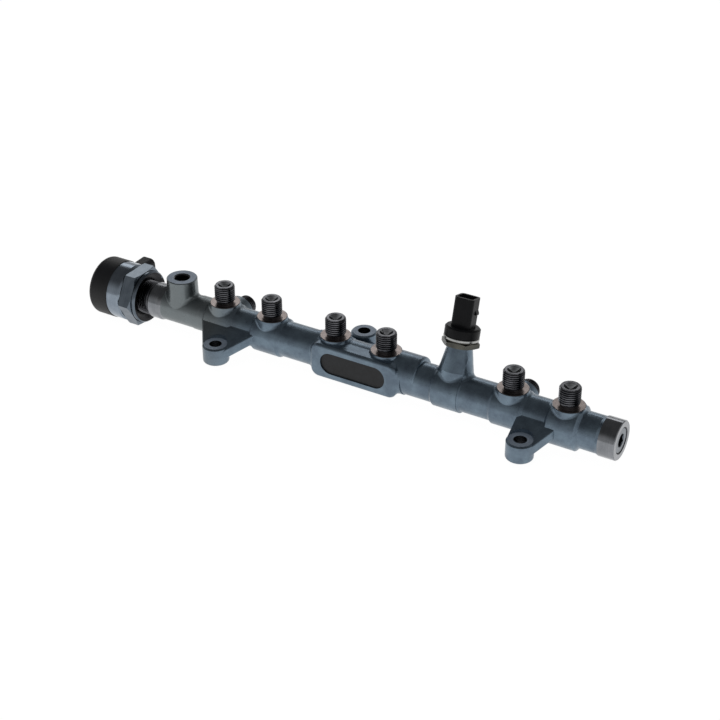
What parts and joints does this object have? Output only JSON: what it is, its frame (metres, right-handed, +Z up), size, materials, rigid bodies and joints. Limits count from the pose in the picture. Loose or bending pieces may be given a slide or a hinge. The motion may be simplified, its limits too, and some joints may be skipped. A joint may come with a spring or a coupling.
{
  "type": "common fuel rail",
  "caption": "Forged high-pressure fuel rail with threaded outlets, pressure sensor, pressure control valve, bolt lugs and a screwed end plug.",
  "frame": {"origin": "middle of the two front bolt holes, at the mounting plane under their pads", "axes": "+X along the rail from the valve to the screw plug, +Y from the front lugs to the rail, +Z up along the outlets"},
  "size_m": [0.3989, 0.0746, 0.0825],
  "materials": {
    "forged_steel": "satin, forged and phosphated",
    "plug_steel": "turned",
    "valve_steel": "smooth, zinc plated",
    "inner_steel": "ground",
    "spring_steel": "drawn wire",
    "sensor_steel": "turned",
    "ring_steel": "bright",
    "black_plastic": "fine moulded",
    "bobbin_plastic": "moulded",
    "board": "coated laminate",
    "copper": "enamelled wire",
    "contact": "tin plated",
    "seal": "matt"
  },
  "bodies": {
    "rail": {"rail_body": "forged_steel", "end_plug": "plug_steel", "sensor_port": "sensor_steel", "sensor_ring": "ring_steel", "sensor_cell": "inner_steel", "sensor_board": "board", "sensor_seal": "seal", "sensor_connector": "black_plastic", "sensor_pin_1": "contact", "sensor_pin_2": "contact", "sensor_pin_3": "contact", "valve_body": "inner_steel", "valve_spring": "spring_steel", "valve_end_stop": "inner_steel", "valve_sleeve": "inner_steel", "valve_bobbin": "bobbin_plastic", "valve_coil": "copper", "valve_can": "valve_steel", "valve_o_ring": "seal", "valve_union_nut": "valve_steel", "valve_cap": "black_plastic", "valve_terminal_1": "contact", "valve_terminal_2": "contact"},
    "valve_plunger": {"valve_armature": "inner_steel", "valve_pin": "inner_steel", "valve_ball": "inner_steel"}
  },
  "joints": [
    {"name": "plunger_slide", "type": "slide", "parent": "rail", "child": "valve_plunger", "axis": [-1, 0, 0], "range_m": [0, 0.0004], "stiffness_N_per_m": 2000, "deforming": ["valve_spring"]}
  ]
}
